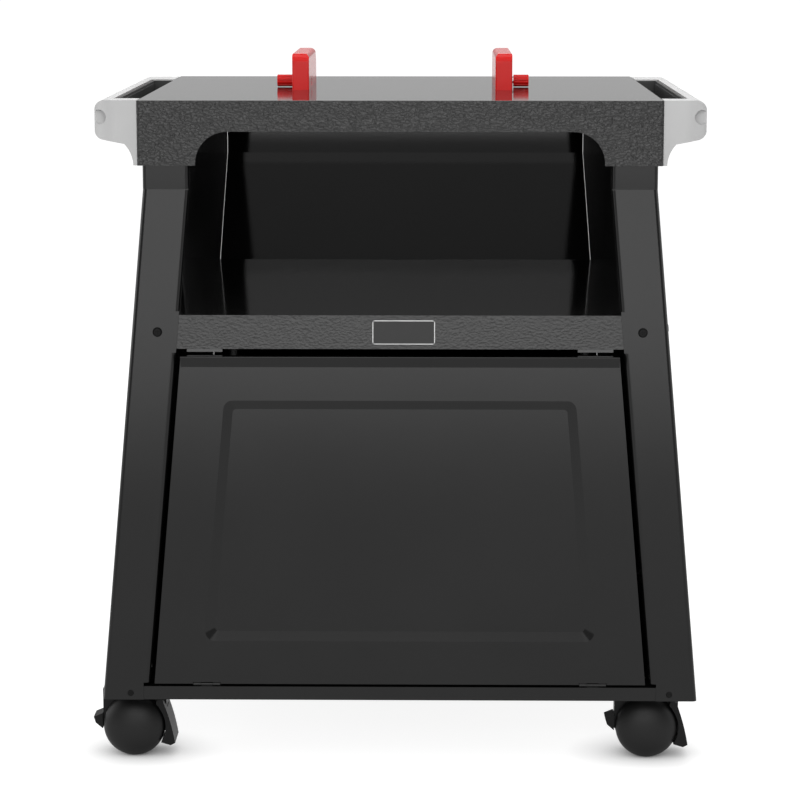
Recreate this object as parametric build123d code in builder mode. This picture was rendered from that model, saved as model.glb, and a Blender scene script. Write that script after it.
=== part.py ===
from build123d import *
import os
from math import cos, radians, sin, tan

# Grill stand: a sheet-steel cart with a deck, an open compartment, a cabinet and four casters.
# Millimetres. +Z is up, the front faces -Y, and the origin is on the floor under the middle of the deck.

# Sheet steel and fits
SHEET = 1                  # thickness of every folded sheet
FIT = 0.1                  # gap between nested sheets
SCREW_CLEARANCE = 0.1      # radial room round a screw or rivet shank
RUNNING_CLEARANCE = 0.05   # radial room round a pin that turns
PRESS_CLEARANCE = 0.02     # radial room round a pin that is pressed in

# Deck
TOP_WIDTH = 542
TOP_DEPTH = 494
TOP_HEIGHT = 700
TOP_BEND = 3               # outer radius of the folded corners
TOP_EDGE = 1.2             # rounding of the upper edge
SKIRT_DROP = 67
ARCH_DROP = 32             # height of the front skirt under its arch
ARCH_END = 60              # width of the full-height end of the front skirt
ARCH_RADIUS = 33
BRACE_WIDTH = 40
BRACE_HEIGHT = 16
BRACE_END_GAP = 6          # brace end to side panel
FRONT_BRACE_SETBACK = 130  # from the front of the deck to the middle of the front brace

# Body: two side panels that lean outwards below a bend
SIDE_OVERHANG = 4.5        # deck past the side panels
FRONT_OVERHANG = 8         # deck past the legs, front and rear
BEND_HEIGHT = 608
SIDE_LEAN = 4.9            # degrees
FRONT_LEAN = 4.5           # degrees
LEG_BOTTOM = 74
LEG_FACE = 48              # width of a leg seen from the front
REAR_LEG_FACE = 52
LEG_BEND = 5
UPPER_BEND = 4             # tighter corner above the bend line
LEG_LIP = 14               # return lip beside the door and the open compartment
LIP_STRIP = 8              # part of the leg's face that folds with the lip
LIP_END_GAP = 4            # lip ends to the shelf rail, the pan and the deck
LIP_RELIEF = 0.5           # cut in the lip on each side of the bend line
FOOT_NOTCH = 5             # cut in the leg's inner edge at the pan's rail
BACK_GAP = 0.3             # slit between the back panel and a rear leg
BACK_TOP_GAP = 2

# Shelf and pan
SHELF_TOP = 478
RAIL_HEIGHT = 35
RAIL_RETURN = 16
PAN_HEIGHT = 14
TRAY_BEND = 5

# Door
DOOR_TOP = 435
DOOR_DEPTH = 16
DOOR_GAP = 5               # door side to leg
DOOR_EDGE = 1              # rounding of the door's front edges
RECESS_SIDE = 49           # door side to the pressed panel
RECESS_END = 46            # door top and bottom to the pressed panel
RECESS_SLOPE = 9.5
RECESS_DEPTH = 7
RECESS_CORNER = 10
RECESS_FLOOR_CORNER = 4
PULL_REACH = 5             # finger lip in front of the door
PULL_FRONT = 0.6
PULL_HEIGHT = 11

# Door hinges and catches
HINGE_INSET = 55           # hinge middle from the door's lower corner
HINGE_WIDTH = 28
HINGE_MIDDLE = 12          # length of the middle knuckle
HINGE_PLAY = 0.4
HINGE_NOTCH_GAP = 0.5
KNUCKLE_RADIUS = 1.8
HINGE_PIN_RADIUS = 0.9
HINGE_LEAF = 1.2
HINGE_LEAF_LENGTH = 22
DOOR_SWING_GAP = 0.5       # open door to the pan
CATCH_INSET = 25           # catch middle from the door's upper corner
CATCH_WIDTH = 37
CATCH_DEPTH = 14
CATCH_HEIGHT = 3.4
STRIKE_HEIGHT = 1
STRIKE_INSET = 2
BADGE_WIDTH = 65
BADGE_HEIGHT = 25
BADGE_THICKNESS = 1
BADGE_CORNER = 3
BADGE_SHIFT = 4            # the plate sits a little right of the middle

# Handles
HANDLE_REACH = 46
HANDLE_FRONT_INSET = 3     # from the front of the deck
HANDLE_REAR_INSET = 14     # from the rear of the deck
HANDLE_FRONT_ARM = 37
HANDLE_REAR_ARM = 62
HANDLE_BAR = 22            # thickness of the outer bar with its liner
HANDLE_PLAN_RADIUS = 24
HANDLE_TOP_RADIUS = 13
HANDLE_BAR_DROP = 33       # top down to where the bar's outer face ends
HANDLE_ARM_DROP = 45       # top down to the underside of an arm
HANDLE_UNDERSIDE = 34.5    # width of an arm's flat underside
HANDLE_CHIN = 4            # rise of the underside towards the bar
HANDLE_GUSSET = 13         # gusset width under an arm
GUSSET_RADIUS = 33
HANDLE_FOOT = 4            # flange at the bottom of the gusset
SOCKET_RADIUS = 7.5
SOCKET_INSET = 6.7         # socket axis from the outer face
SOCKET_DROP = 17.5
SOCKET_DEPTH = 15
LINER = 3
LINER_TOP = 1.5            # liner below the handle's top
LINER_HEIGHT = 36
GRIP_PITCH = 6
GRIP_RIB = 2.4
GRIP_RISE = 1

# Grill locks
LOCK_SPACING = 204         # between the two inner faces
LOCK_WIDTH = 18.5
LOCK_LENGTH = 185
LOCK_HEIGHT = 40
LOCK_SETBACK = 192         # from the front of the deck
LOCK_NOSE = 11             # rounding of the upper front end and the upper rear end
LOCK_TAIL = 34
LOCK_INNER_EDGE = 6        # rounding of the top edges, inside and outside
LOCK_OUTER_EDGE = 2.5
LOCK_CORNER = 2            # rounding of the upright edges
STUD_RADIUS = 3
STUD_SETBACK = 66          # from the front of the lock
STUD_HEIGHT = 7.2          # above the deck
PAD_RADIUS = 5
PAD_THICKNESS = 4
PAD_POCKET = 12            # depth of the pocket that the pad draws back into
PAD_POCKET_CLEARANCE = 0.4
PAD_FLUSH = 0.3            # pad below the bracket's inner face at rest
PAD_SOCKET = 2
KNOB_RADIUS = 6.6
KNOB_LENGTH = 16.9
KNOB_GAP = 3               # knob to bracket at rest
KNOB_LOBES = 10
KNOB_FLUTE = 1.2
KNOB_EDGE = 0.8
KNOB_SEAT = 12             # stud depth in the knob

# Casters
CASTER_SIDE_INSET = 38.3   # swivel axis from the legs' outer faces
CASTER_FRONT_INSET = 60
WHEEL_RADIUS = 33
TRAIL = 10.6               # swivel axis to axle
WHEEL_GAP = 17.2           # between the twin wheels
TREAD_WIDTH = 5
WHEEL_SPAN = 62            # over both wheels
AXLE_RADIUS = 4
AXLE_LENGTH = 44
HOOD_THICKNESS = 16
HOOD_RADIUS = 33.1
HOOD_HALF_WIDTH = 34
HOOD_SKIRT = 6             # hood below the axle
HOOD_TOP = 71
HOOD_CAP_RADIUS = 16
HOOD_CAP = 4
TAB_REACH = 44             # toe tab from the axle
TAB_RISE = 12              # upper root corner above the axle
TAB_FALL = 5               # lower root corner below the axle
TAB_TIP = (1.5, 8)         # tip corners above the axle
TAB_UNDERCUT = 2           # lower tip corner behind the upper one
TAB_NECK = 2               # root inside the hood
TAB_CLEARANCE = 1.4        # tab to wheels
TAB_WIDTH = 24
STEM_RADIUS = 5
STEM_LENGTH = 24
MOUNT_PLATE = 50
MOUNT_THICKNESS = 3
MOUNT_CORNER = 5
MOUNT_BOSS_RADIUS = 15
SWIVEL_GAP = 0.3
RIVET_SPACING = 36
RIVET_RADIUS = 3
RIVET_HEAD_RADIUS = 5.5
RIVET_HEAD = 2.5
PEDAL_WIDTH = 40
PEDAL_CLEARANCE = 0.7      # pedal to hood, round the wheel
PEDAL_PIVOT = (28, 25.5)   # from the axle, forwards and up
PEDAL_BOSS_RADIUS = 4
PEDAL_PIN_RADIUS = 2
PEDAL_TIP = (43.8, -18.5)
PEDAL_BELLY = (40.3, -1)
PEDAL_TOE = (39, -21)
PEDAL_LOW_ANGLE = -32      # ends of the face round the wheel
PEDAL_HIGH_ANGLE = 38
PEDAL_SIDE_GAP = 0.4

# Screws
SCREW_RADIUS = 2.4
SCREW_HEAD_RADIUS = 5
SCREW_HEAD = 2.5
SCREW_GRIP = 7             # shank length in sheet
HEAD_CROWN = 0.75          # top of a head as a share of its width
CROSS_LENGTH = 0.9         # cross recess as shares of the head's radius and height
CROSS_WIDTH = 0.22
CROSS_DEPTH = 0.6
LOW_SCREW_RADIUS = 1.6
LOW_SCREW_HEAD_RADIUS = 3.3
LOW_SCREW_HEAD = 1.2
LEG_SCREW_INSET = 27       # from the leg's outer edge, at the rail
LOW_SCREW_INSET = 28.7     # from the leg's outer edge, at the pan
SIDE_SCREW_INSET = 35.6    # from the leg's front, at the rail
BACK_SCREW_INSET = 62      # from the back panel's upper corner
HANDLE_SCREW_DROPS = (14, 34)
HANDLE_SCREW_BITE = 15
LOCK_SCREW_BITE = 14
LOCK_SCREW_INSET = 18      # from each end of a lock

# Derived places
DECK_UNDERSIDE = TOP_HEIGHT - SHEET
DECK_FRONT = -TOP_DEPTH / 2
SHELF_BOTTOM = SHELF_TOP - RAIL_HEIGHT
PAN_TOP = LEG_BOTTOM + PAN_HEIGHT
SIDE_SLOPE = radians(SIDE_LEAN)
FRONT_SLOPE = radians(FRONT_LEAN)
SIDES = {"left": -1, "right": 1}
UPWARDS = (Align.CENTER, Align.CENTER, Align.MIN)
DOWNWARDS = (Align.CENTER, Align.CENTER, Align.MAX)
ALONG_FACE = (Align.CENTER, Align.MIN, Align.CENTER)


def half_width(height):
    """Half of the width over the side panels at a height."""
    return TOP_WIDTH / 2 - SIDE_OVERHANG + tan(SIDE_SLOPE) * max(0, BEND_HEIGHT - height)


def half_depth(height):
    """Half of the depth over the legs at a height."""
    return TOP_DEPTH / 2 - FRONT_OVERHANG + tan(FRONT_SLOPE) * max(0, BEND_HEIGHT - height)


def save(part, name):
    """Label a finished piece and write it under its own name."""
    part.label = name
    export_step(part, f"parts/{name}.step")


# Leaning faces of the body, each with its origin on the bend line and its y axis up the slope
FRONT_NORMAL = (0, -cos(FRONT_SLOPE), sin(FRONT_SLOPE))
REAR_NORMAL = (0, cos(FRONT_SLOPE), sin(FRONT_SLOPE))
LEFT_NORMAL = (-cos(SIDE_SLOPE), 0, sin(SIDE_SLOPE))
RIGHT_NORMAL = (cos(SIDE_SLOPE), 0, sin(SIDE_SLOPE))
FRONT_FACE = Plane((0, -half_depth(BEND_HEIGHT), BEND_HEIGHT), (1, 0, 0), FRONT_NORMAL)
REAR_FACE = Plane((0, half_depth(BEND_HEIGHT), BEND_HEIGHT), (-1, 0, 0), REAR_NORMAL)
LEFT_FACE = Plane((-half_width(BEND_HEIGHT), 0, BEND_HEIGHT), (0, -1, 0), LEFT_NORMAL)
RIGHT_FACE = Plane((half_width(BEND_HEIGHT), 0, BEND_HEIGHT), (0, 1, 0), RIGHT_NORMAL)
RAIL_FACE = FRONT_FACE.offset(-(SHEET + FIT) * cos(FRONT_SLOPE))
DOOR_FACE = FRONT_FACE.offset(-SHEET)
DOOR_PROFILE = Plane(DOOR_FACE.origin, DOOR_FACE.z_dir, (-1, 0, 0))


def front_run(height):
    """Distance up the slope of the front or rear face, from the bend line."""
    return (height - BEND_HEIGHT) / cos(FRONT_SLOPE)


def side_run(height):
    """Distance up the slope of a side face, from the bend line."""
    return (height - BEND_HEIGHT) / cos(SIDE_SLOPE)


# Door hinge axis: behind the door's face by a knuckle, and high enough for the open door to clear the pan
HINGE_Z = PAN_TOP + KNUCKLE_RADIUS + DOOR_SWING_GAP
HINGE_RUN = (HINGE_Z - DOOR_FACE.origin.Z + KNUCKLE_RADIUS * sin(FRONT_SLOPE)) / cos(FRONT_SLOPE)
HINGE_Y = DOOR_FACE.origin.Y + HINGE_RUN * sin(FRONT_SLOPE) + KNUCKLE_RADIUS * cos(FRONT_SLOPE)
DOOR_TOP_RUN = (DOOR_TOP - DOOR_FACE.origin.Z) / cos(FRONT_SLOPE)
HINGE_X = half_width(HINGE_Z) - LEG_FACE - DOOR_GAP - HINGE_INSET
CATCH_X = half_width(DOOR_TOP) - LEG_FACE - DOOR_GAP - CATCH_INSET

# Back panel corners and caster axes follow the legs
BACK_LOW_HALF = half_width(LEG_BOTTOM) - REAR_LEG_FACE - BACK_GAP
BACK_HIGH_HALF = half_width(BEND_HEIGHT) - REAR_LEG_FACE - BACK_GAP
CASTER_X = half_width(LEG_BOTTOM) - CASTER_SIDE_INSET
CASTER_Y = half_depth(LEG_BOTTOM) - CASTER_FRONT_INSET

# Screw places, each with its z axis out of the surface
RAIL_MIDDLE = SHELF_TOP - RAIL_HEIGHT / 2
PAN_MIDDLE = LEG_BOTTOM + PAN_HEIGHT / 2
BRACE_MIDDLE = DECK_UNDERSIDE - BRACE_HEIGHT / 2
LEG_SCREW_X = half_width(RAIL_MIDDLE) - LEG_SCREW_INSET
LOW_SCREW_X = half_width(PAN_MIDDLE) - LOW_SCREW_INSET
SIDE_SCREW_Y = half_depth(RAIL_MIDDLE) - SIDE_SCREW_INSET
BACK_SCREW_X = BACK_HIGH_HALF - BACK_SCREW_INSET
shelf_screw_spots = []
pan_screw_spots = []
back_screw_spots = []
for direction in (-1, 1):
    for face in (FRONT_FACE, REAR_FACE):
        leg_spot = Location((direction * LEG_SCREW_X, front_run(RAIL_MIDDLE), 0))
        shelf_screw_spots.append(face.location * leg_spot)
        foot_spot = Location((direction * LOW_SCREW_X, front_run(PAN_MIDDLE), 0))
        pan_screw_spots.append(face.location * foot_spot)
    for face in (LEFT_FACE, RIGHT_FACE):
        side_spot = Location((direction * SIDE_SCREW_Y, side_run(RAIL_MIDDLE), 0))
        shelf_screw_spots.append(face.location * side_spot)
    for height in (RAIL_MIDDLE, PAN_MIDDLE):
        back_spot = Location((direction * BACK_SCREW_X, front_run(height), 0))
        back_screw_spots.append(REAR_FACE.location * back_spot)
    brace_spot = (direction * BACK_SCREW_X, half_depth(TOP_HEIGHT), BRACE_MIDDLE)
    back_screw_spots.append(Location(brace_spot, (-90, 0, 0)))

HANDLE_FRONT = DECK_FRONT + HANDLE_FRONT_INSET
HANDLE_REAR = TOP_DEPTH / 2 - HANDLE_REAR_INSET
HANDLE_ARM_MIDDLES = (HANDLE_FRONT + HANDLE_FRONT_ARM / 2, HANDLE_REAR - HANDLE_REAR_ARM / 2)
SIDE_PANEL_INSIDE = half_width(TOP_HEIGHT) - SHEET
handle_screw_spots = []
for direction in (-1, 1):
    for arm in HANDLE_ARM_MIDDLES:
        for drop in HANDLE_SCREW_DROPS:
            inside = (direction * SIDE_PANEL_INSIDE, arm, TOP_HEIGHT - drop)
            handle_screw_spots.append(Location(inside, (0, -90 * direction, 0)))

LOCK_MIDDLE = LOCK_SPACING / 2 + LOCK_WIDTH / 2
LOCK_FRONT = DECK_FRONT + LOCK_SETBACK
LOCK_SCREW_YS = (LOCK_FRONT + LOCK_SCREW_INSET, LOCK_FRONT + LOCK_LENGTH - LOCK_SCREW_INSET)
lock_screw_spots = []
for direction in (-1, 1):
    for lock_screw_y in LOCK_SCREW_YS:
        below = (direction * LOCK_MIDDLE, lock_screw_y, DECK_UNDERSIDE)
        lock_screw_spots.append(Location(below, (180, 0, 0)))


def drill(spots, radius, depth):
    """Cut a round hole at each spot, to a depth on both sides of the surface."""
    with Locations(*spots):
        Cylinder(radius + SCREW_CLEARANCE, 2 * depth, mode=Mode.SUBTRACT)


def screw_set(spots, grip, radius=SCREW_RADIUS, head_radius=SCREW_HEAD_RADIUS, head_height=SCREW_HEAD):
    """Screws with a raised head on the surface at each spot and a shank below it."""
    with BuildPart() as screws:
        with Locations(*spots):
            Cone(head_radius, HEAD_CROWN * head_radius, head_height, align=UPWARDS)
            Cylinder(radius, grip, align=DOWNWARDS)
        cross_depth = 2 * CROSS_DEPTH * head_height
        long_side = CROSS_LENGTH * head_radius
        short_side = CROSS_WIDTH * head_radius
        with Locations(*[spot * Location((0, 0, head_height)) for spot in spots]):
            Box(long_side, short_side, cross_depth, mode=Mode.SUBTRACT)
            Box(short_side, long_side, cross_depth, mode=Mode.SUBTRACT)
    return screws.part


def upright_edges(body):
    """Edges of a piece that run mostly up and down."""
    return body.edges().filter_by(lambda edge: abs((edge @ 1 - edge @ 0).Z) > 0.9 * edge.length)


def body_slice(bottom, top, inset, corner=0):
    """Solid of the body's outline between two heights on one side of the bend, moved in by an inset."""
    low_x = half_width(bottom) - inset
    high_x = half_width(top) - inset
    low_y = half_depth(bottom) - inset
    high_y = half_depth(top) - inset
    with BuildPart() as body:
        with BuildSketch(Plane.XZ):
            Polygon((-low_x, bottom), (low_x, bottom), (high_x, top), (-high_x, top), align=None)
        extrude(amount=TOP_DEPTH, both=True)
        with BuildSketch(Plane.YZ):
            Polygon((-low_y, bottom), (low_y, bottom), (high_y, top), (-high_y, top), align=None)
        extrude(amount=TOP_WIDTH, both=True, mode=Mode.INTERSECT)
        if corner > 0:
            fillet(upright_edges(body), corner)
    return body.part


def leg_strip(bottom, top, start, end):
    """Corners, seen from the front, of a strip beside a right leg's inner edge."""
    low = half_width(bottom) - LEG_FACE
    high = half_width(top) - LEG_FACE
    return [(low + start, bottom), (low + end, bottom), (high + end, top), (high + start, top)]


os.makedirs("parts", exist_ok=True)

# Deck: a tray that opens downwards, with an arch in its front skirt
with BuildPart() as table_top:
    with BuildSketch(Plane.XY.offset(TOP_HEIGHT - SKIRT_DROP)):
        RectangleRounded(TOP_WIDTH, TOP_DEPTH, TOP_BEND)
    extrude(amount=SKIRT_DROP)
    fillet(table_top.faces().sort_by(Axis.Z)[-1].edges(), TOP_EDGE)
    with BuildSketch(Plane.XY.offset(TOP_HEIGHT - SKIRT_DROP)):
        RectangleRounded(TOP_WIDTH - 2 * SHEET, TOP_DEPTH - 2 * SHEET, TOP_BEND - SHEET)
    extrude(amount=SKIRT_DROP - SHEET, mode=Mode.SUBTRACT)
    with BuildSketch(Plane.XZ.offset(TOP_DEPTH / 2)) as arch:
        arch_height = 2 * (SKIRT_DROP - ARCH_DROP)
        with Locations((0, TOP_HEIGHT - SKIRT_DROP)):
            Rectangle(TOP_WIDTH - 2 * ARCH_END, arch_height)
        fillet(arch.vertices().group_by(Axis.Y)[-1], ARCH_RADIUS)
    extrude(amount=-2 * SHEET, mode=Mode.SUBTRACT)
    drill(handle_screw_spots, SCREW_RADIUS, TOP_WIDTH / 2 - SIDE_PANEL_INSIDE + SHEET)
    drill(lock_screw_spots, SCREW_RADIUS, 2 * SHEET)
save(table_top.part, "table_top")


def deck_brace(middle):
    """Channel across the underside of the deck, open upwards."""
    length = 2 * (half_width(TOP_HEIGHT) - SHEET - BRACE_END_GAP)
    with BuildPart() as brace:
        with Locations((0, middle, DECK_UNDERSIDE)):
            Box(length, BRACE_WIDTH, BRACE_HEIGHT, align=DOWNWARDS)
            Box(
                length,
                BRACE_WIDTH - 2 * SHEET,
                BRACE_HEIGHT - SHEET,
                align=DOWNWARDS,
                mode=Mode.SUBTRACT,
            )
        drill(back_screw_spots, SCREW_RADIUS, SCREW_GRIP)
    return brace.part


save(deck_brace(DECK_FRONT + FRONT_BRACE_SETBACK), "front_deck_brace")
save(deck_brace(half_depth(TOP_HEIGHT) - SHEET - BRACE_WIDTH / 2), "rear_deck_brace")


def leg_lip(bottom, top):
    """Lip folded back along the inner edge of the right front leg, between two heights."""
    with BuildPart() as fold_hollow:
        with BuildSketch(Plane.XZ):
            Polygon(*leg_strip(bottom, top, SHEET, 2 * LIP_STRIP), align=None)
        extrude(amount=TOP_DEPTH)
        add(body_slice(bottom, top, SHEET), mode=Mode.INTERSECT)
        fillet(upright_edges(fold_hollow).group_by(Axis.Y)[0].sort_by(Axis.X)[0], LEG_BEND - SHEET)
    with BuildPart() as lip:
        with BuildSketch(Plane.XZ):
            Polygon(*leg_strip(bottom, top, 0, LIP_STRIP), align=None)
        extrude(amount=TOP_DEPTH)
        add(body_slice(bottom, top, 0), mode=Mode.INTERSECT)
        add(body_slice(bottom, top, LEG_LIP), mode=Mode.SUBTRACT)
        fillet(upright_edges(lip).group_by(Axis.Y)[0].sort_by(Axis.X)[0], LEG_BEND)
        add(fold_hollow.part, mode=Mode.SUBTRACT)
    return lip.part


# Right side panel: front leg, side wall and rear leg folded from one sheet
DOOR_LIP = (PAN_TOP + LIP_END_GAP, SHELF_BOTTOM - LIP_END_GAP)
COMPARTMENT_LIP = (SHELF_TOP + LIP_END_GAP, BEND_HEIGHT - LIP_RELIEF)
UPPER_LIP = (BEND_HEIGHT + LIP_RELIEF, DECK_UNDERSIDE - LIP_END_GAP)
LOWER_SPAN = (LEG_BOTTOM, BEND_HEIGHT, LEG_BEND)
UPPER_SPAN = (BEND_HEIGHT, DECK_UNDERSIDE, UPPER_BEND)
with BuildPart() as right_side_panel:
    for bottom, top, bend in (LOWER_SPAN, UPPER_SPAN):
        add(body_slice(bottom, top, 0, bend))
        add(body_slice(bottom, top, SHEET, bend - SHEET), mode=Mode.SUBTRACT)
    for leg_face, reach in ((LEG_FACE, TOP_DEPTH), (REAR_LEG_FACE, -TOP_DEPTH)):
        with BuildSketch(Plane.XZ):
            with BuildLine():
                Polyline(
                    (-TOP_WIDTH, LEG_BOTTOM),
                    (half_width(LEG_BOTTOM) - leg_face, LEG_BOTTOM),
                    (half_width(BEND_HEIGHT) - leg_face, BEND_HEIGHT),
                    (half_width(TOP_HEIGHT) - leg_face, TOP_HEIGHT),
                    (-TOP_WIDTH, TOP_HEIGHT),
                    close=True,
                )
            make_face()
        extrude(amount=reach, mode=Mode.SUBTRACT)
    for bottom, top in (DOOR_LIP, COMPARTMENT_LIP, UPPER_LIP):
        with BuildSketch(Plane.XZ):
            Polygon(*leg_strip(bottom, top, 0, LIP_STRIP), align=None)
        extrude(amount=TOP_DEPTH, mode=Mode.SUBTRACT)
        add(leg_lip(bottom, top))
    with Locations((half_width(LEG_BOTTOM) - LEG_FACE, -half_depth(LEG_BOTTOM), LEG_BOTTOM)):
        Box(2 * FOOT_NOTCH, LEG_LIP, 2 * (PAN_HEIGHT + LIP_END_GAP), mode=Mode.SUBTRACT)
    drill(shelf_screw_spots, SCREW_RADIUS, SCREW_GRIP)
    drill(pan_screw_spots, LOW_SCREW_RADIUS, SCREW_GRIP)
    drill(handle_screw_spots, SCREW_RADIUS, 2 * SHEET)
save(right_side_panel.part, "right_side_panel")

with BuildPart() as left_side_panel:
    add(right_side_panel.part)
    mirror(about=Plane.YZ, mode=Mode.REPLACE)
save(left_side_panel.part, "left_side_panel")

# Back panel between the rear legs, bent like them
with BuildPart() as back_panel:
    with BuildSketch(REAR_FACE):
        low_run = front_run(LEG_BOTTOM)
        Polygon(
            (-BACK_LOW_HALF, low_run),
            (BACK_LOW_HALF, low_run),
            (BACK_HIGH_HALF, SHEET),
            (-BACK_HIGH_HALF, SHEET),
            align=None,
        )
    extrude(amount=-SHEET)
    with Locations((0, half_depth(TOP_HEIGHT), BEND_HEIGHT)):
        Box(
            2 * BACK_HIGH_HALF,
            SHEET,
            DECK_UNDERSIDE - BACK_TOP_GAP - BEND_HEIGHT,
            align=(Align.CENTER, Align.MAX, Align.MIN),
        )
    drill(back_screw_spots, SCREW_RADIUS, SCREW_GRIP)
save(back_panel.part, "back_panel")

# Middle shelf: a tray that opens downwards, whose deep front flange is the rail
with BuildPart() as middle_shelf:
    add(body_slice(SHELF_BOTTOM, SHELF_TOP, SHEET + FIT, TRAY_BEND))
    hollow = body_slice(SHELF_BOTTOM, SHELF_TOP - SHEET, 2 * SHEET + FIT, TRAY_BEND - SHEET)
    add(hollow, mode=Mode.SUBTRACT)
    rail_back = -half_depth(SHELF_BOTTOM) + 2 * SHEET
    with Locations((0, rail_back, SHELF_BOTTOM)):
        Box(
            2 * (CATCH_X + CATCH_WIDTH),
            RAIL_RETURN,
            SHEET,
            align=(Align.CENTER, Align.MIN, Align.MIN),
        )
    drill(shelf_screw_spots, SCREW_RADIUS, SCREW_GRIP)
    drill(back_screw_spots, SCREW_RADIUS, SCREW_GRIP)
save(middle_shelf.part, "middle_shelf")

# Blank plate on the rail
with BuildPart() as badge_plate:
    with BuildSketch(RAIL_FACE):
        with Locations((BADGE_SHIFT, front_run(RAIL_MIDDLE))):
            RectangleRounded(BADGE_WIDTH, BADGE_HEIGHT, BADGE_CORNER)
    extrude(amount=BADGE_THICKNESS)
save(badge_plate.part, "badge_plate")

# Bottom pan: cabinet floor, low front rail and seat of the casters
rivet_spots = []
for caster_x in (-CASTER_X, CASTER_X):
    for caster_y in (-CASTER_Y, CASTER_Y):
        for shift_x in (-RIVET_SPACING / 2, RIVET_SPACING / 2):
            for shift_y in (-RIVET_SPACING / 2, RIVET_SPACING / 2):
                rivet_spots.append(Location((caster_x + shift_x, caster_y + shift_y, PAN_TOP)))
with BuildPart() as bottom_pan:
    add(body_slice(LEG_BOTTOM, PAN_TOP, SHEET + FIT, TRAY_BEND))
    hollow = body_slice(LEG_BOTTOM, PAN_TOP - SHEET, 2 * SHEET + FIT, TRAY_BEND - SHEET)
    add(hollow, mode=Mode.SUBTRACT)
    drill(pan_screw_spots, LOW_SCREW_RADIUS, SCREW_GRIP)
    drill(back_screw_spots, SCREW_RADIUS, SCREW_GRIP)
    drill(rivet_spots, RIVET_RADIUS, 2 * SHEET)
save(bottom_pan.part, "bottom_pan")


def door_corners(side_margin, end_margin):
    """Corners of the door's outline on its face, moved in by margins."""
    corners = []
    for run, across in ((HINGE_RUN + end_margin, 1), (DOOR_TOP_RUN - end_margin, -1)):
        height = DOOR_FACE.origin.Z + run * cos(FRONT_SLOPE)
        half = half_width(height) - LEG_FACE - DOOR_GAP - side_margin
        corners += [(-across * half, run), (across * half, run)]
    return corners


# Door: a shallow pan with a pressed panel and a finger lip along its top
with BuildPart() as door_panel:
    with BuildSketch(DOOR_FACE):
        Polygon(*door_corners(0, 0), align=None)
    extrude(amount=-DOOR_DEPTH)
    fillet(door_panel.faces().sort_by(Axis.Y)[0].edges(), DOOR_EDGE)
    with BuildSketch(DOOR_FACE.offset(-SHEET)):
        Polygon(*door_corners(SHEET, SHEET), align=None)
    extrude(amount=-DOOR_DEPTH, mode=Mode.SUBTRACT)
    with BuildSketch(DOOR_FACE.offset(-SHEET / 2)) as tub_rim:
        Polygon(*door_corners(RECESS_SIDE - SHEET, RECESS_END - SHEET), align=None)
        fillet(tub_rim.vertices(), RECESS_CORNER + SHEET)
    with BuildSketch(DOOR_FACE.offset(-RECESS_DEPTH - SHEET)) as tub_floor:
        floor_margin = RECESS_SLOPE - SHEET
        Polygon(*door_corners(RECESS_SIDE + floor_margin, RECESS_END + floor_margin), align=None)
        fillet(tub_floor.vertices(), RECESS_FLOOR_CORNER + SHEET)
    loft(ruled=True)
    with BuildSketch(DOOR_FACE) as recess_rim:
        Polygon(*door_corners(RECESS_SIDE, RECESS_END), align=None)
        fillet(recess_rim.vertices(), RECESS_CORNER)
    with BuildSketch(DOOR_FACE.offset(-RECESS_DEPTH)) as recess_floor:
        Polygon(*door_corners(RECESS_SIDE + RECESS_SLOPE, RECESS_END + RECESS_SLOPE), align=None)
        fillet(recess_floor.vertices(), RECESS_FLOOR_CORNER)
    loft(ruled=True, mode=Mode.SUBTRACT)
    with BuildSketch(DOOR_PROFILE):
        with BuildLine():
            Polyline(
                (-SHEET, DOOR_TOP_RUN),
                (PULL_REACH, DOOR_TOP_RUN),
                (PULL_REACH, DOOR_TOP_RUN - PULL_FRONT),
                (0, DOOR_TOP_RUN - PULL_HEIGHT),
                (-SHEET, DOOR_TOP_RUN - PULL_HEIGHT),
                close=True,
            )
        make_face()
    extrude(amount=door_corners(0, 0)[2][0], both=True)
    notch_height = KNUCKLE_RADIUS + HINGE_NOTCH_GAP
    with Locations(*[DOOR_FACE.location * Location((x * HINGE_X, HINGE_RUN, 0)) for x in (-1, 1)]):
        Box(HINGE_WIDTH + 2 * HINGE_NOTCH_GAP, 2 * notch_height, 3 * DOOR_DEPTH, mode=Mode.SUBTRACT)
save(door_panel.part, "door_panel")


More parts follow.
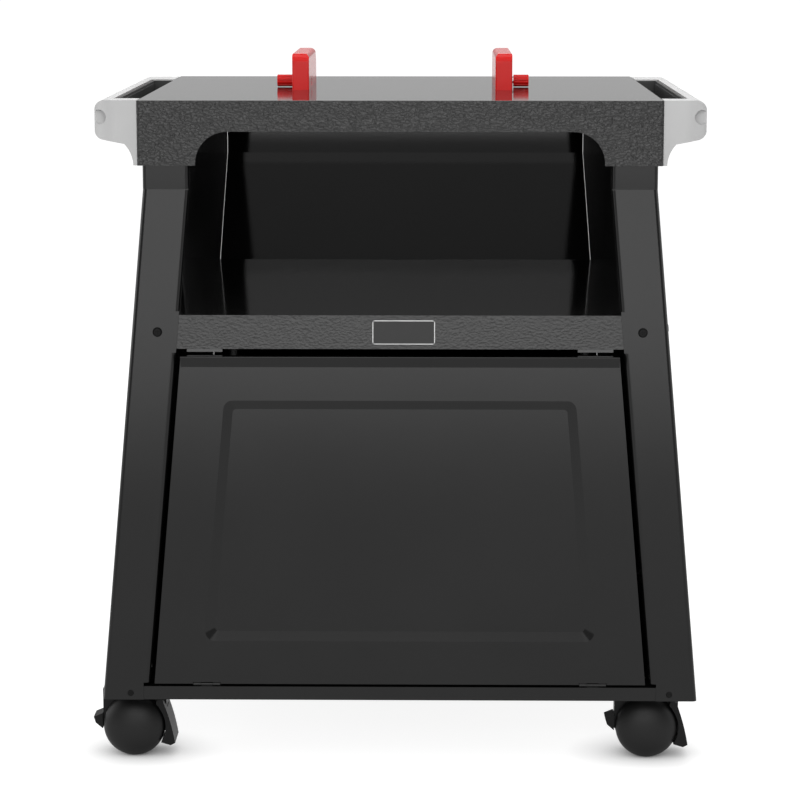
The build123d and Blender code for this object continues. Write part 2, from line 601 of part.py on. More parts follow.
# Door hinges: three knuckles on a pin, a base on the pan and a leaf behind the door's face
for side, direction in SIDES.items():
    hinge_middle = direction * HINGE_X
    axis_spot = Location((hinge_middle, HINGE_Y, HINGE_Z), (0, 90, 0))
    outer_knuckle = (HINGE_WIDTH - HINGE_MIDDLE) / 2 - HINGE_PLAY
    outer_shift = (HINGE_WIDTH - outer_knuckle) / 2
    with BuildPart() as hinge_base:
        with Locations(axis_spot):
            Cylinder(KNUCKLE_RADIUS, HINGE_MIDDLE)
        with Locations((hinge_middle, HINGE_Y, PAN_TOP)):
            tongue = 3 * KNUCKLE_RADIUS
            Box(HINGE_MIDDLE, tongue, HINGE_LEAF, align=(Align.CENTER, Align.MIN, Align.MIN))
        with Locations((hinge_middle, HINGE_Y + 2 * KNUCKLE_RADIUS, PAN_TOP)):
            Box(HINGE_WIDTH, HINGE_LEAF_LENGTH, HINGE_LEAF, align=(Align.CENTER, Align.MIN, Align.MIN))
        with Locations(axis_spot):
            Cylinder(HINGE_PIN_RADIUS + PRESS_CLEARANCE, HINGE_WIDTH, mode=Mode.SUBTRACT)
    save(hinge_base.part, f"{side}_hinge_base")

    with BuildPart() as hinge_leaf:
        leaf_spot = DOOR_FACE.location * Location((hinge_middle, HINGE_RUN, -SHEET - HINGE_LEAF / 2))
        leaf_start = KNUCKLE_RADIUS + HINGE_PLAY
        with Locations(leaf_spot * Location((0, leaf_start, 0))):
            leaf_height = HINGE_LEAF_LENGTH - leaf_start
            Box(HINGE_WIDTH, leaf_height, HINGE_LEAF, align=ALONG_FACE)
        for shift in (-outer_shift, outer_shift):
            with Locations(leaf_spot * Location((shift, 0, 0))):
                Box(outer_knuckle, 2 * leaf_start, HINGE_LEAF, align=ALONG_FACE)
            with Locations(axis_spot * Location((0, 0, shift))):
                Cylinder(KNUCKLE_RADIUS, outer_knuckle)
        with Locations(axis_spot):
            Cylinder(HINGE_PIN_RADIUS + RUNNING_CLEARANCE, HINGE_WIDTH, mode=Mode.SUBTRACT)
    save(hinge_leaf.part, f"{side}_hinge_leaf")

    with BuildPart() as hinge_pin:
        with Locations(axis_spot):
            Cylinder(HINGE_PIN_RADIUS, HINGE_WIDTH)
    save(hinge_pin.part, f"{side}_hinge_pin")

    # Catch under the rail and its strike plate on the door's top
    with BuildPart() as door_catch:
        with Locations((direction * CATCH_X, rail_back, SHELF_BOTTOM)):
            Box(CATCH_WIDTH, CATCH_DEPTH, CATCH_HEIGHT, align=(Align.CENTER, Align.MIN, Align.MAX))
    save(door_catch.part, f"{side}_door_catch")

    with BuildPart() as strike_plate:
        strike_spot = DOOR_FACE.location * Location((direction * CATCH_X, DOOR_TOP_RUN, -STRIKE_INSET))
        with Locations(strike_spot):
            strike_depth = DOOR_DEPTH - 2 * STRIKE_INSET
            Box(CATCH_WIDTH, STRIKE_HEIGHT, strike_depth, align=(Align.CENTER, Align.MIN, Align.MAX))
    save(strike_plate.part, f"{side}_strike_plate")


# Handles: an outer bar on two arms, with a ribbed liner round the hand hole
HANDLE_LENGTH = HANDLE_REAR - HANDLE_FRONT
HANDLE_ROOT = TOP_WIDTH / 2
HANDLE_OUTSIDE = HANDLE_ROOT + HANDLE_REACH
HOLE_FRONT = HANDLE_FRONT + HANDLE_FRONT_ARM
HOLE_REAR = HANDLE_REAR - HANDLE_REAR_ARM
HOLE_LENGTH = HOLE_REAR - HOLE_FRONT
HOLE_WIDTH = HANDLE_REACH - HANDLE_BAR
with BuildPart() as right_handle:
    with BuildSketch(Plane.XZ.offset(-HANDLE_REAR)):
        with BuildLine():
            bar_bottom = TOP_HEIGHT - HANDLE_BAR_DROP
            arm_bottom = TOP_HEIGHT - HANDLE_ARM_DROP
            foot_bottom = TOP_HEIGHT - SKIRT_DROP
            top_outer = (HANDLE_OUTSIDE - HANDLE_TOP_RADIUS, TOP_HEIGHT)
            underside_outer = (HANDLE_ROOT + HANDLE_UNDERSIDE, arm_bottom + HANDLE_CHIN)
            gusset_top = (HANDLE_ROOT + HANDLE_GUSSET, arm_bottom)
            gusset_foot = (HANDLE_ROOT + HANDLE_FOOT, foot_bottom)
            Polyline(gusset_foot, (HANDLE_ROOT, foot_bottom), (HANDLE_ROOT, TOP_HEIGHT), top_outer)
            RadiusArc(top_outer, (HANDLE_OUTSIDE, TOP_HEIGHT - HANDLE_TOP_RADIUS), HANDLE_TOP_RADIUS)
            Line((HANDLE_OUTSIDE, TOP_HEIGHT - HANDLE_TOP_RADIUS), (HANDLE_OUTSIDE, bar_bottom))
            RadiusArc((HANDLE_OUTSIDE, bar_bottom), underside_outer, HANDLE_TOP_RADIUS)
            Line(underside_outer, gusset_top)
            RadiusArc(gusset_top, gusset_foot, -GUSSET_RADIUS)
        make_face()
    extrude(amount=HANDLE_LENGTH)
    with BuildSketch(Plane.XY.offset(TOP_HEIGHT)) as handle_plan:
        with Locations((HANDLE_ROOT, (HANDLE_FRONT + HANDLE_REAR) / 2)):
            Rectangle(2 * HANDLE_REACH, HANDLE_LENGTH)
        fillet(handle_plan.vertices(), HANDLE_PLAN_RADIUS)
    extrude(amount=-SKIRT_DROP, mode=Mode.INTERSECT)
    with BuildSketch(Plane.XY.offset(TOP_HEIGHT)):
        with Locations((HANDLE_ROOT, (HOLE_FRONT + HOLE_REAR) / 2)):
            Rectangle(2 * (HOLE_WIDTH + LINER), HOLE_LENGTH + 2 * LINER)
    extrude(amount=-SKIRT_DROP, mode=Mode.SUBTRACT)
    for end in (HANDLE_FRONT, HANDLE_REAR):
        with Locations((HANDLE_OUTSIDE - SOCKET_INSET, end, TOP_HEIGHT - SOCKET_DROP)):
            Cylinder(SOCKET_RADIUS, 2 * SOCKET_DEPTH, rotation=(90, 0, 0), mode=Mode.SUBTRACT)
    drill(handle_screw_spots, SCREW_RADIUS, HANDLE_ROOT - SIDE_PANEL_INSIDE + HANDLE_SCREW_BITE)
save(right_handle.part, "right_handle")

with BuildPart() as right_handle_liner:
    liner_middle = (HOLE_FRONT + HOLE_REAR) / 2
    with Locations((HANDLE_ROOT, liner_middle, TOP_HEIGHT - LINER_TOP)):
        Box(
            HOLE_WIDTH + LINER - FIT,
            HOLE_LENGTH + 2 * (LINER - FIT),
            LINER_HEIGHT,
            align=(Align.MIN, Align.CENTER, Align.MAX),
        )
        Box(
            HOLE_WIDTH,
            HOLE_LENGTH,
            LINER_HEIGHT,
            align=(Align.MIN, Align.CENTER, Align.MAX),
            mode=Mode.SUBTRACT,
        )
    rib_count = int(HOLE_LENGTH / GRIP_PITCH) - 1
    with Locations((HANDLE_ROOT + HOLE_WIDTH, liner_middle, TOP_HEIGHT - LINER_TOP - LINER_HEIGHT / 2)):
        with GridLocations(1, GRIP_PITCH, 1, rib_count):
            Box(2 * GRIP_RISE, GRIP_RIB, LINER_HEIGHT - 2 * LINER)
save(right_handle_liner.part, "right_handle_liner")

with BuildPart() as left_handle:
    add(right_handle.part)
    mirror(about=Plane.YZ, mode=Mode.REPLACE)
save(left_handle.part, "left_handle")

with BuildPart() as left_handle_liner:
    add(right_handle_liner.part)
    mirror(about=Plane.YZ, mode=Mode.REPLACE)
save(left_handle_liner.part, "left_handle_liner")


# Grill locks: a rounded block with a thumb screw whose pad clamps the grill's foot
LOCK_INSIDE = LOCK_SPACING / 2
LOCK_OUTSIDE = LOCK_INSIDE + LOCK_WIDTH
LOCK_CENTRE = LOCK_FRONT + LOCK_LENGTH / 2
STUD_Y = LOCK_FRONT + STUD_SETBACK
STUD_Z = TOP_HEIGHT + STUD_HEIGHT
PAD_FACE = LOCK_INSIDE + PAD_FLUSH
KNOB_START = LOCK_OUTSIDE + KNOB_GAP
STUD_START = PAD_FACE + PAD_THICKNESS - PAD_SOCKET
stud_spot = Location((0, STUD_Y, STUD_Z), (0, 90, 0))
with BuildPart() as right_lock_bracket:
    with BuildSketch(Plane.YZ.offset(LOCK_INSIDE)) as lock_profile:
        with Locations((LOCK_CENTRE, TOP_HEIGHT)):
            Rectangle(LOCK_LENGTH, LOCK_HEIGHT, align=(Align.CENTER, Align.MIN))
        fillet(lock_profile.vertices().group_by(Axis.Y)[-1].sort_by(Axis.X)[0], LOCK_NOSE)
        fillet(lock_profile.vertices().group_by(Axis.Y)[-1].sort_by(Axis.X)[-1], LOCK_TAIL)
    extrude(amount=LOCK_WIDTH)
    with BuildSketch(Plane.XZ.offset(-LOCK_FRONT)) as lock_section:
        with Locations((LOCK_MIDDLE, TOP_HEIGHT)):
            Rectangle(LOCK_WIDTH, LOCK_HEIGHT, align=(Align.CENTER, Align.MIN))
        fillet(lock_section.vertices().group_by(Axis.Y)[-1].sort_by(Axis.X)[0], LOCK_INNER_EDGE)
        fillet(lock_section.vertices().group_by(Axis.Y)[-1].sort_by(Axis.X)[-1], LOCK_OUTER_EDGE)
    extrude(amount=-LOCK_LENGTH, mode=Mode.INTERSECT)
    with BuildSketch(Plane.XY.offset(TOP_HEIGHT)):
        with Locations((LOCK_MIDDLE, LOCK_CENTRE)):
            RectangleRounded(LOCK_WIDTH, LOCK_LENGTH, LOCK_CORNER)
    extrude(amount=LOCK_HEIGHT, mode=Mode.INTERSECT)
    with Locations(stud_spot * Location((0, 0, LOCK_INSIDE))):
        Cylinder(STUD_RADIUS + RUNNING_CLEARANCE, LOCK_WIDTH, align=UPWARDS, mode=Mode.SUBTRACT)
        Cylinder(PAD_RADIUS + PAD_POCKET_CLEARANCE, PAD_POCKET, align=UPWARDS, mode=Mode.SUBTRACT)
    drill(lock_screw_spots, SCREW_RADIUS, SHEET + LOCK_SCREW_BITE)
save(right_lock_bracket.part, "right_lock_bracket")

with BuildPart() as right_lock_pad:
    with Locations(stud_spot * Location((0, 0, PAD_FACE))):
        Cylinder(PAD_RADIUS, PAD_THICKNESS, align=UPWARDS)
    with Locations(stud_spot * Location((0, 0, STUD_START))):
        Cylinder(STUD_RADIUS + SCREW_CLEARANCE, PAD_SOCKET, align=UPWARDS, mode=Mode.SUBTRACT)
save(right_lock_pad.part, "right_lock_pad")

with BuildPart() as right_lock_stud:
    with Locations(stud_spot * Location((0, 0, STUD_START + SCREW_CLEARANCE))):
        stud_length = KNOB_START + KNOB_SEAT - STUD_START - 2 * SCREW_CLEARANCE
        Cylinder(STUD_RADIUS, stud_length, align=UPWARDS)
save(right_lock_stud.part, "right_lock_stud")

with BuildPart() as right_lock_knob:
    with BuildSketch(Plane.YZ.offset(KNOB_START)):
        with Locations((STUD_Y, STUD_Z)):
            Circle(KNOB_RADIUS)
            with PolarLocations(KNOB_RADIUS + KNOB_FLUTE / 2, KNOB_LOBES):
                Circle(KNOB_FLUTE, mode=Mode.SUBTRACT)
    extrude(amount=KNOB_LENGTH)
    fillet(right_lock_knob.faces().sort_by(Axis.X)[-1].edges(), KNOB_EDGE)
    with Locations(stud_spot * Location((0, 0, KNOB_START))):
        Cylinder(STUD_RADIUS + PRESS_CLEARANCE, KNOB_SEAT, align=UPWARDS, mode=Mode.SUBTRACT)
save(right_lock_knob.part, "right_lock_knob")

for lock_name, lock_piece in {
    "left_lock_bracket": right_lock_bracket.part,
    "left_lock_pad": right_lock_pad.part,
    "left_lock_stud": right_lock_stud.part,
    "left_lock_knob": right_lock_knob.part,
}.items():
    with BuildPart() as left_lock_piece:
        add(lock_piece)
        mirror(about=Plane.YZ, mode=Mode.REPLACE)
    save(left_lock_piece.part, lock_name)


# Caster pieces, each built about a swivel axis at the origin with the wheels trailing to -X
AXLE_PLANE = Plane((-TRAIL, 0, WHEEL_RADIUS), (1, 0, 0), (0, -1, 0))
AXLE_SPOT = Location((-TRAIL, 0, WHEEL_RADIUS), (90, 0, 0))
PEDAL_RADIUS = HOOD_RADIUS + PEDAL_CLEARANCE
PEDAL_SLOT = HOOD_THICKNESS / 2 + PEDAL_SIDE_GAP
MOUNT_TOP = PAN_TOP - SHEET
BOSS_BOTTOM = HOOD_TOP + SWIVEL_GAP

with BuildPart() as caster_mount:
    with BuildSketch(Plane.XY.offset(MOUNT_TOP - MOUNT_THICKNESS)):
        RectangleRounded(MOUNT_PLATE, MOUNT_PLATE, MOUNT_CORNER)
        with GridLocations(RIVET_SPACING, RIVET_SPACING, 2, 2):
            Circle(RIVET_RADIUS + SCREW_CLEARANCE, mode=Mode.SUBTRACT)
    extrude(amount=MOUNT_THICKNESS)
    with BuildSketch(Plane.XY.offset(BOSS_BOTTOM)):
        Circle(MOUNT_BOSS_RADIUS)
    extrude(amount=MOUNT_TOP - MOUNT_THICKNESS - BOSS_BOTTOM)
    with BuildSketch(Plane.XY.offset(HOOD_TOP - STEM_LENGTH + SWIVEL_GAP)):
        Circle(STEM_RADIUS)
    extrude(amount=STEM_LENGTH)

with BuildPart() as caster_hood:
    with BuildSketch(AXLE_PLANE):
        Circle(HOOD_RADIUS)
        with Locations((0, -HOOD_SKIRT)):
            Rectangle(2 * HOOD_RADIUS, 2 * HOOD_RADIUS, align=(Align.CENTER, Align.MAX), mode=Mode.SUBTRACT)
        Rectangle(2 * HOOD_HALF_WIDTH, HOOD_TOP - WHEEL_RADIUS, align=(Align.CENTER, Align.MIN))
    extrude(amount=HOOD_THICKNESS / 2, both=True)
    with BuildSketch(Plane.XY.offset(HOOD_TOP)):
        Circle(HOOD_CAP_RADIUS)
    extrude(amount=-HOOD_CAP)
    tab_neck = (TAB_NECK - HOOD_RADIUS, HOOD_THICKNESS / 2)
    tab_blade = (-WHEEL_RADIUS - TAB_CLEARANCE, TAB_WIDTH / 2)
    for tab_root, half_tab in (tab_neck, tab_blade):
        with BuildSketch(AXLE_PLANE):
            Polygon(
                (tab_root, TAB_RISE),
                (-TAB_REACH, TAB_TIP[1]),
                (-TAB_REACH + TAB_UNDERCUT, TAB_TIP[0]),
                (tab_root, -TAB_FALL),
                align=None,
            )
        extrude(amount=half_tab, both=True)
    with Locations((0, 0, HOOD_TOP)):
        Cylinder(
            STEM_RADIUS + RUNNING_CLEARANCE,
            STEM_LENGTH,
            align=DOWNWARDS,
            mode=Mode.SUBTRACT,
        )
    with Locations(AXLE_SPOT):
        Cylinder(AXLE_RADIUS + RUNNING_CLEARANCE, 2 * HOOD_THICKNESS, mode=Mode.SUBTRACT)
    with Locations(AXLE_SPOT * Location((PEDAL_PIVOT[0], PEDAL_PIVOT[1], 0))):
        Cylinder(PEDAL_PIN_RADIUS + RUNNING_CLEARANCE, 2 * HOOD_THICKNESS, mode=Mode.SUBTRACT)

with BuildPart() as caster_wheels:
    with BuildSketch(Plane((-TRAIL, 0, WHEEL_RADIUS), (0, 1, 0), (1, 0, 0))):
        with BuildLine():
            inner = WHEEL_GAP / 2
            tread = inner + TREAD_WIDTH
            outer = WHEEL_SPAN / 2
            bore = AXLE_RADIUS + PRESS_CLEARANCE
            bore_end = AXLE_LENGTH / 2
            Polyline(
                (outer, 0),
                (bore_end, 0),
                (bore_end, bore),
                (inner, bore),
                (inner, WHEEL_RADIUS),
                (tread, WHEEL_RADIUS),
            )
            EllipticalCenterArc((tread, 0), outer - tread, WHEEL_RADIUS, 0, arc_size=90)
        make_face()
    revolve(axis=Axis((-TRAIL, 0, WHEEL_RADIUS), (0, 1, 0)))
    mirror(about=Plane.XZ)

with BuildPart() as caster_axle:
    with Locations(AXLE_SPOT):
        Cylinder(AXLE_RADIUS, AXLE_LENGTH)

with BuildPart() as caster_pedal:
    with BuildSketch(AXLE_PLANE):
        with BuildLine():
            low = PEDAL_RADIUS * Vector(cos(radians(PEDAL_LOW_ANGLE)), sin(radians(PEDAL_LOW_ANGLE)))
            high = PEDAL_RADIUS * Vector(cos(radians(PEDAL_HIGH_ANGLE)), sin(radians(PEDAL_HIGH_ANGLE)))
            crown = (PEDAL_PIVOT[0] + PEDAL_BOSS_RADIUS, PEDAL_PIVOT[1])
            ThreePointArc(low, (PEDAL_RADIUS, 0), high)
            Line(high, crown)
            ThreePointArc(crown, PEDAL_BELLY, PEDAL_TIP)
            Polyline(PEDAL_TIP, PEDAL_TOE, low)
        make_face()
        with Locations(PEDAL_PIVOT):
            Circle(PEDAL_BOSS_RADIUS)
    extrude(amount=PEDAL_WIDTH / 2, both=True)
    with Locations((-TRAIL, 0, WHEEL_RADIUS)):
        Box(
            2 * (HOOD_HALF_WIDTH + PEDAL_CLEARANCE),
            2 * PEDAL_SLOT,
            2 * HOOD_RADIUS,
            align=UPWARDS,
            mode=Mode.SUBTRACT,
        )
    with Locations(AXLE_SPOT * Location((PEDAL_PIVOT[0], PEDAL_PIVOT[1], 0))):
        Cylinder(PEDAL_PIN_RADIUS, PEDAL_WIDTH)

caster_pieces = {
    "mount": caster_mount.part,
    "hood": caster_hood.part,
    "wheels": caster_wheels.part,
    "axle": caster_axle.part,
    "pedal": caster_pedal.part,
}
for side, direction in SIDES.items():
    for row, caster_y, heading in (("front", -CASTER_Y, 0), ("rear", CASTER_Y, 180)):
        for piece_name, piece in caster_pieces.items():
            with BuildPart() as placed_piece:
                with Locations(Location((direction * CASTER_X, caster_y, 0), (0, 0, heading))):
                    add(piece)
            save(placed_piece.part, f"{row}_{side}_caster_{piece_name}")

with BuildPart() as caster_rivets:
    with Locations(*rivet_spots):
        Cone(RIVET_HEAD_RADIUS, RIVET_HEAD_RADIUS / 2, RIVET_HEAD, align=UPWARDS)
        Cylinder(RIVET_RADIUS, SHEET + MOUNT_THICKNESS, align=DOWNWARDS)
    with Locations(*[spot * Location((0, 0, -SHEET - MOUNT_THICKNESS)) for spot in rivet_spots]):
        Cylinder((RIVET_RADIUS + RIVET_HEAD_RADIUS) / 2, RIVET_HEAD, align=DOWNWARDS)
save(caster_rivets.part, "caster_rivets")

# Screw sets
handle_grip = HANDLE_ROOT - SIDE_PANEL_INSIDE + HANDLE_SCREW_BITE - SCREW_HEAD
lock_grip = SHEET + LOCK_SCREW_BITE - SCREW_HEAD
low_screws = screw_set(pan_screw_spots, SCREW_GRIP, LOW_SCREW_RADIUS, LOW_SCREW_HEAD_RADIUS, LOW_SCREW_HEAD)
save(low_screws, "pan_screws")
save(screw_set(shelf_screw_spots, SCREW_GRIP), "shelf_screws")
save(screw_set(back_screw_spots, SCREW_GRIP), "back_panel_screws")
save(screw_set(handle_screw_spots, handle_grip), "handle_screws")
save(screw_set(lock_screw_spots, lock_grip), "lock_screws")
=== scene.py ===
from math import radians

import bpy
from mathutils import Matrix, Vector


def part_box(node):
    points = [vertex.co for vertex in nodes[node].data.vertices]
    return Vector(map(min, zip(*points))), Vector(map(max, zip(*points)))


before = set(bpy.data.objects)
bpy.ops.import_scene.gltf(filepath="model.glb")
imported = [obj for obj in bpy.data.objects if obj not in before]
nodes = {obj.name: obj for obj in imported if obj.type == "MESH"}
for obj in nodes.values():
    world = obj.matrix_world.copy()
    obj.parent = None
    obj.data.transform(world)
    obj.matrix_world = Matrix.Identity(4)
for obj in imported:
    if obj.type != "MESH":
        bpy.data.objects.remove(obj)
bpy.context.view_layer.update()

# Camera, fitted to the photograph (metres, degrees, millimetres of lens)
CAMERA_PLACE = (0.0362, -3.0255, 0.8645)
CAMERA_PITCH = 9.7156
CAMERA_YAW = 0.7445
CAMERA_LENS = 121.5

# Floor: half its side, its own glow for the camera, the reach of the painted contact shadow in that glow
# round what stands on it (metres), the share of light it shows, and its colour for bounced light
FLOOR_HALF = 40
FLOOR_GLOW = 0.88
PAINTED_SHADOW_REACH = 0.055
FLOOR_SHADE = (0.35, 0.35, 0.35, 1)
FLOOR_BOUNCE = (0.4, 0.4, 0.4, 1)

# Light: a tall softbox on each side of the object, one high in front and a small one above (metres, watts)
WORLD_LEVEL = 0.5
SOFTBOX_SIZE = (3.4, 2.3)
SOFTBOX_DISTANCE = 4.25
SOFTBOX_BOTTOM = 0.31
REAR_BOTTOM = 1.5
FRONT_POWER = 76
LEFT_POWER = 52
RIGHT_POWER = 34
REAR_POWER = 45
TOP_POWER = 36
TOP_SIZE = 2
TOP_HEIGHT = 3.5
HIGH_POWER = 33
HIGH_SIZE = (3.4, 2.4)
HIGH_PLACE = Vector((0, -2.7, 3.3))

# Softened edges of moulded plastic and small metal parts (metres, degrees)
WELD_DISTANCE = 0.00001
EDGE_ANGLE = 32
EDGE_STEPS = 2
FACE_WEIGHT = 100
MOULD_EDGE = 0.0010
FINE_EDGE = 0.0003

# Light line round the blank plate (metres)
BADGE_LINE = 0.0009

# Share of the surface reflection of paint and plastic
PAINT_SPECULAR = 0.25

# Textures: the part of a noise's range that is used, and the scale and depth of a fine grain (metres)
NOISE_LOW = 0.3
NOISE_HIGH = 0.7
GRAIN_SCALE = 900
GRAIN_DEPTH = 0.0001

# Hammertone paint: stretch and scale of its wrinkles, depth of its two reliefs (metres), what its upright
# faces add in roughness, and how far a face's normal has to point upwards to count as a flat top
WRINKLE_STRETCH = (0.7, 0.7, 1.1)
WRINKLE_SCALE = 400
DEEP_RELIEF = 0.0018
SOFT_RELIEF = 0.0005
HAMMER_SPECULAR = 0.4
UPRIGHT_ROUGHNESS = 0.2
TOP_START = 0.7
TOP_END = 0.95

# Plated steel: stretch of its drawn lines and strength of their relief
DRAWN_STRETCH = (40, 900, 900)
DRAWN_RELIEF = 0.05


def grey(level):
    """A neutral colour."""
    return (level, level, level)


def new_material(name):
    """A new node material, its tree and its main shader."""
    material = bpy.data.materials.new(name)
    material.use_nodes = True
    tree = material.node_tree
    return material, tree, tree.nodes["Principled BSDF"]


def object_coordinates(tree, stretch=(1, 1, 1)):
    """Coordinates that stay with a piece when it moves, scaled along each axis."""
    place = tree.nodes.new("ShaderNodeTexCoord")
    mapping = tree.nodes.new("ShaderNodeMapping")
    mapping.inputs["Scale"].default_value = stretch
    tree.links.new(place.outputs["Object"], mapping.inputs["Vector"])
    return mapping.outputs["Vector"]


def noise(tree, coordinates, scale, detail=2.0, roughness=0.5, distortion=0.0):
    """Cloudy texture between 0 and 1."""
    node = tree.nodes.new("ShaderNodeTexNoise")
    node.inputs["Scale"].default_value = scale
    node.inputs["Detail"].default_value = detail
    node.inputs["Roughness"].default_value = roughness
    node.inputs["Distortion"].default_value = distortion
    tree.links.new(coordinates, node.inputs["Vector"])
    return node.outputs["Fac"]


def spread(tree, value, low, high, start=NOISE_LOW, end=NOISE_HIGH):
    """Map a value's range from start to end onto low to high."""
    node = tree.nodes.new("ShaderNodeMapRange")
    node.inputs["From Min"].default_value = start
    node.inputs["From Max"].default_value = end
    node.inputs["To Min"].default_value = low
    node.inputs["To Max"].default_value = high
    tree.links.new(value, node.inputs["Value"])
    return node.outputs["Result"]


def arithmetic(tree, operation, first, second):
    """One maths step; each side is a socket or a number."""
    node = tree.nodes.new("ShaderNodeMath")
    node.operation = operation
    for socket, value in zip(node.inputs, (first, second)):
        if isinstance(value, (int, float)):
            socket.default_value = value
        else:
            tree.links.new(value, socket)
    return node.outputs["Value"]


def tint(tree, value, dark, light):
    """A colour between two, chosen by a texture."""
    node = tree.nodes.new("ShaderNodeValToRGB")
    node.color_ramp.elements[0].position = NOISE_LOW
    node.color_ramp.elements[1].position = NOISE_HIGH
    node.color_ramp.elements[0].color = (*dark, 1)
    node.color_ramp.elements[1].color = (*light, 1)
    tree.links.new(value, node.inputs["Fac"])
    return node.outputs["Color"]


def bump(tree, shader, height, strength, distance):
    """Surface relief; the strength is a number or a socket."""
    node = tree.nodes.new("ShaderNodeBump")
    node.inputs["Distance"].default_value = distance
    if isinstance(strength, (int, float)):
        node.inputs["Strength"].default_value = strength
    else:
        tree.links.new(strength, node.inputs["Strength"])
    tree.links.new(height, node.inputs["Height"])
    tree.links.new(node.outputs["Normal"], shader.inputs["Normal"])


def facing_up(tree):
    """1 on surfaces that face upwards in the piece's own frame, 0 on the others."""
    place = tree.nodes.new("ShaderNodeTexCoord")
    split = tree.nodes.new("ShaderNodeSeparateXYZ")
    tree.links.new(place.outputs["Normal"], split.inputs["Vector"])
    return spread(tree, split.outputs["Z"], 0, 1, TOP_START, TOP_END)


def grained(name, dark, light, gloss, cloud=9, grain=GRAIN_SCALE, strength=0.06, specular=0.5, metal=0.0):
    """Paint or moulded plastic: a faint cloudy tint, a changing gloss and a fine grain."""
    material, tree, shader = new_material(name)
    place = object_coordinates(tree)
    clouds = noise(tree, place, cloud, 3)
    fine = noise(tree, place, grain)
    tree.links.new(tint(tree, clouds, dark, light), shader.inputs["Base Color"])
    tree.links.new(spread(tree, fine, *gloss), shader.inputs["Roughness"])
    shader.inputs["Specular IOR Level"].default_value = specular
    shader.inputs["Metallic"].default_value = metal
    bump(tree, shader, fine, strength, GRAIN_DEPTH)
    return material


def hammertone(name, relief):
    """Black paint, leathery on upright faces and glossy on the flat tops."""
    material, tree, shader = new_material(name)
    stretched = object_coordinates(tree, WRINKLE_STRETCH)
    wrinkles = noise(tree, stretched, WRINKLE_SCALE, detail=1, roughness=0.4, distortion=0.3)
    fine = noise(tree, object_coordinates(tree), GRAIN_SCALE)
    top = facing_up(tree)
    upright = arithmetic(tree, "SUBTRACT", 1, top)
    tree.links.new(tint(tree, wrinkles, grey(0.005), grey(0.012)), shader.inputs["Base Color"])
    coarser = arithmetic(tree, "MULTIPLY", upright, UPRIGHT_ROUGHNESS)
    gloss = arithmetic(tree, "ADD", spread(tree, fine, 0.07, 0.10), coarser)
    tree.links.new(gloss, shader.inputs["Roughness"])
    shader.inputs["Specular IOR Level"].default_value = HAMMER_SPECULAR
    bump(tree, shader, wrinkles, upright, relief)
    return material


def bordered_plate(name, low, high):
    """Black enamel with a light line along the edges of a plate between two corners."""
    material, tree, shader = new_material(name)
    middle = (low + high) / 2
    half = (high - low) / 2
    split = tree.nodes.new("ShaderNodeSeparateXYZ")
    tree.links.new(object_coordinates(tree), split.inputs["Vector"])
    margins = []
    for axis, centre, reach in (("X", middle.x, half.x), ("Z", middle.z, half.z)):
        offset = arithmetic(tree, "ABSOLUTE", arithmetic(tree, "SUBTRACT", split.outputs[axis], centre), 0)
        margins.append(arithmetic(tree, "SUBTRACT", offset, reach - BADGE_LINE))
    line = arithmetic(tree, "GREATER_THAN", arithmetic(tree, "MAXIMUM", *margins), 0)
    clouds = noise(tree, object_coordinates(tree), 40, 3)
    colour = tree.nodes.new("ShaderNodeMixRGB")
    tree.links.new(line, colour.inputs["Fac"])
    enamel = tint(tree, clouds, grey(0.010), grey(0.016))
    print_white = tint(tree, clouds, grey(0.60), grey(0.68))
    tree.links.new(enamel, colour.inputs["Color1"])
    tree.links.new(print_white, colour.inputs["Color2"])
    tree.links.new(colour.outputs["Color"], shader.inputs["Base Color"])
    tree.links.new(spread(tree, clouds, 0.3, 0.38), shader.inputs["Roughness"])
    shader.inputs["Specular IOR Level"].default_value = PAINT_SPECULAR
    return material


def brushed(name, dark, light):
    """Plated steel with fine drawn lines."""
    material, tree, shader = new_material(name)
    lines = noise(tree, object_coordinates(tree, DRAWN_STRETCH), 1)
    tree.links.new(tint(tree, lines, dark, light), shader.inputs["Base Color"])
    tree.links.new(spread(tree, lines, 0.28, 0.42), shader.inputs["Roughness"])
    shader.inputs["Metallic"].default_value = 1.0
    bump(tree, shader, lines, DRAWN_RELIEF, GRAIN_DEPTH)
    return material


def seen_rays(tree):
    """1 for camera, glossy and transmission rays, 0 for the rest."""
    path = tree.nodes.new("ShaderNodeLightPath")
    first = arithmetic(tree, "MAXIMUM", path.outputs["Is Camera Ray"], path.outputs["Is Glossy Ray"])
    return arithmetic(tree, "MAXIMUM", first, path.outputs["Is Transmission Ray"])


def floor_finish():
    """White floor that keeps the object's shadow plus a painted contact shadow, and a plain pale one for
    bounced light.
    """
    material = bpy.data.materials.new("floor_white")
    material.use_nodes = True
    tree = material.node_tree
    tree.nodes.clear()
    output = tree.nodes.new("ShaderNodeOutputMaterial")
    shaded = tree.nodes.new("ShaderNodeBsdfDiffuse")
    shaded.inputs["Color"].default_value = FLOOR_SHADE
    glow = tree.nodes.new("ShaderNodeEmission")
    # Painted contact shadow: occlusion darkens the floor's glow round what stands on it
    painted_contact_shadow = tree.nodes.new("ShaderNodeAmbientOcclusion")
    painted_contact_shadow.inputs["Distance"].default_value = PAINTED_SHADOW_REACH
    tree.links.new(arithmetic(tree, "MULTIPLY", painted_contact_shadow.outputs["AO"], FLOOR_GLOW), glow.inputs["Strength"])
    seen = tree.nodes.new("ShaderNodeAddShader")
    tree.links.new(shaded.outputs["BSDF"], seen.inputs[0])
    tree.links.new(glow.outputs["Emission"], seen.inputs[1])
    plain = tree.nodes.new("ShaderNodeBsdfDiffuse")
    plain.inputs["Color"].default_value = FLOOR_BOUNCE
    choice = tree.nodes.new("ShaderNodeMixShader")
    tree.links.new(seen_rays(tree), choice.inputs["Fac"])
    tree.links.new(plain.outputs["BSDF"], choice.inputs[1])
    tree.links.new(seen.outputs["Shader"], choice.inputs[2])
    tree.links.new(choice.outputs["Shader"], output.inputs["Surface"])
    return material


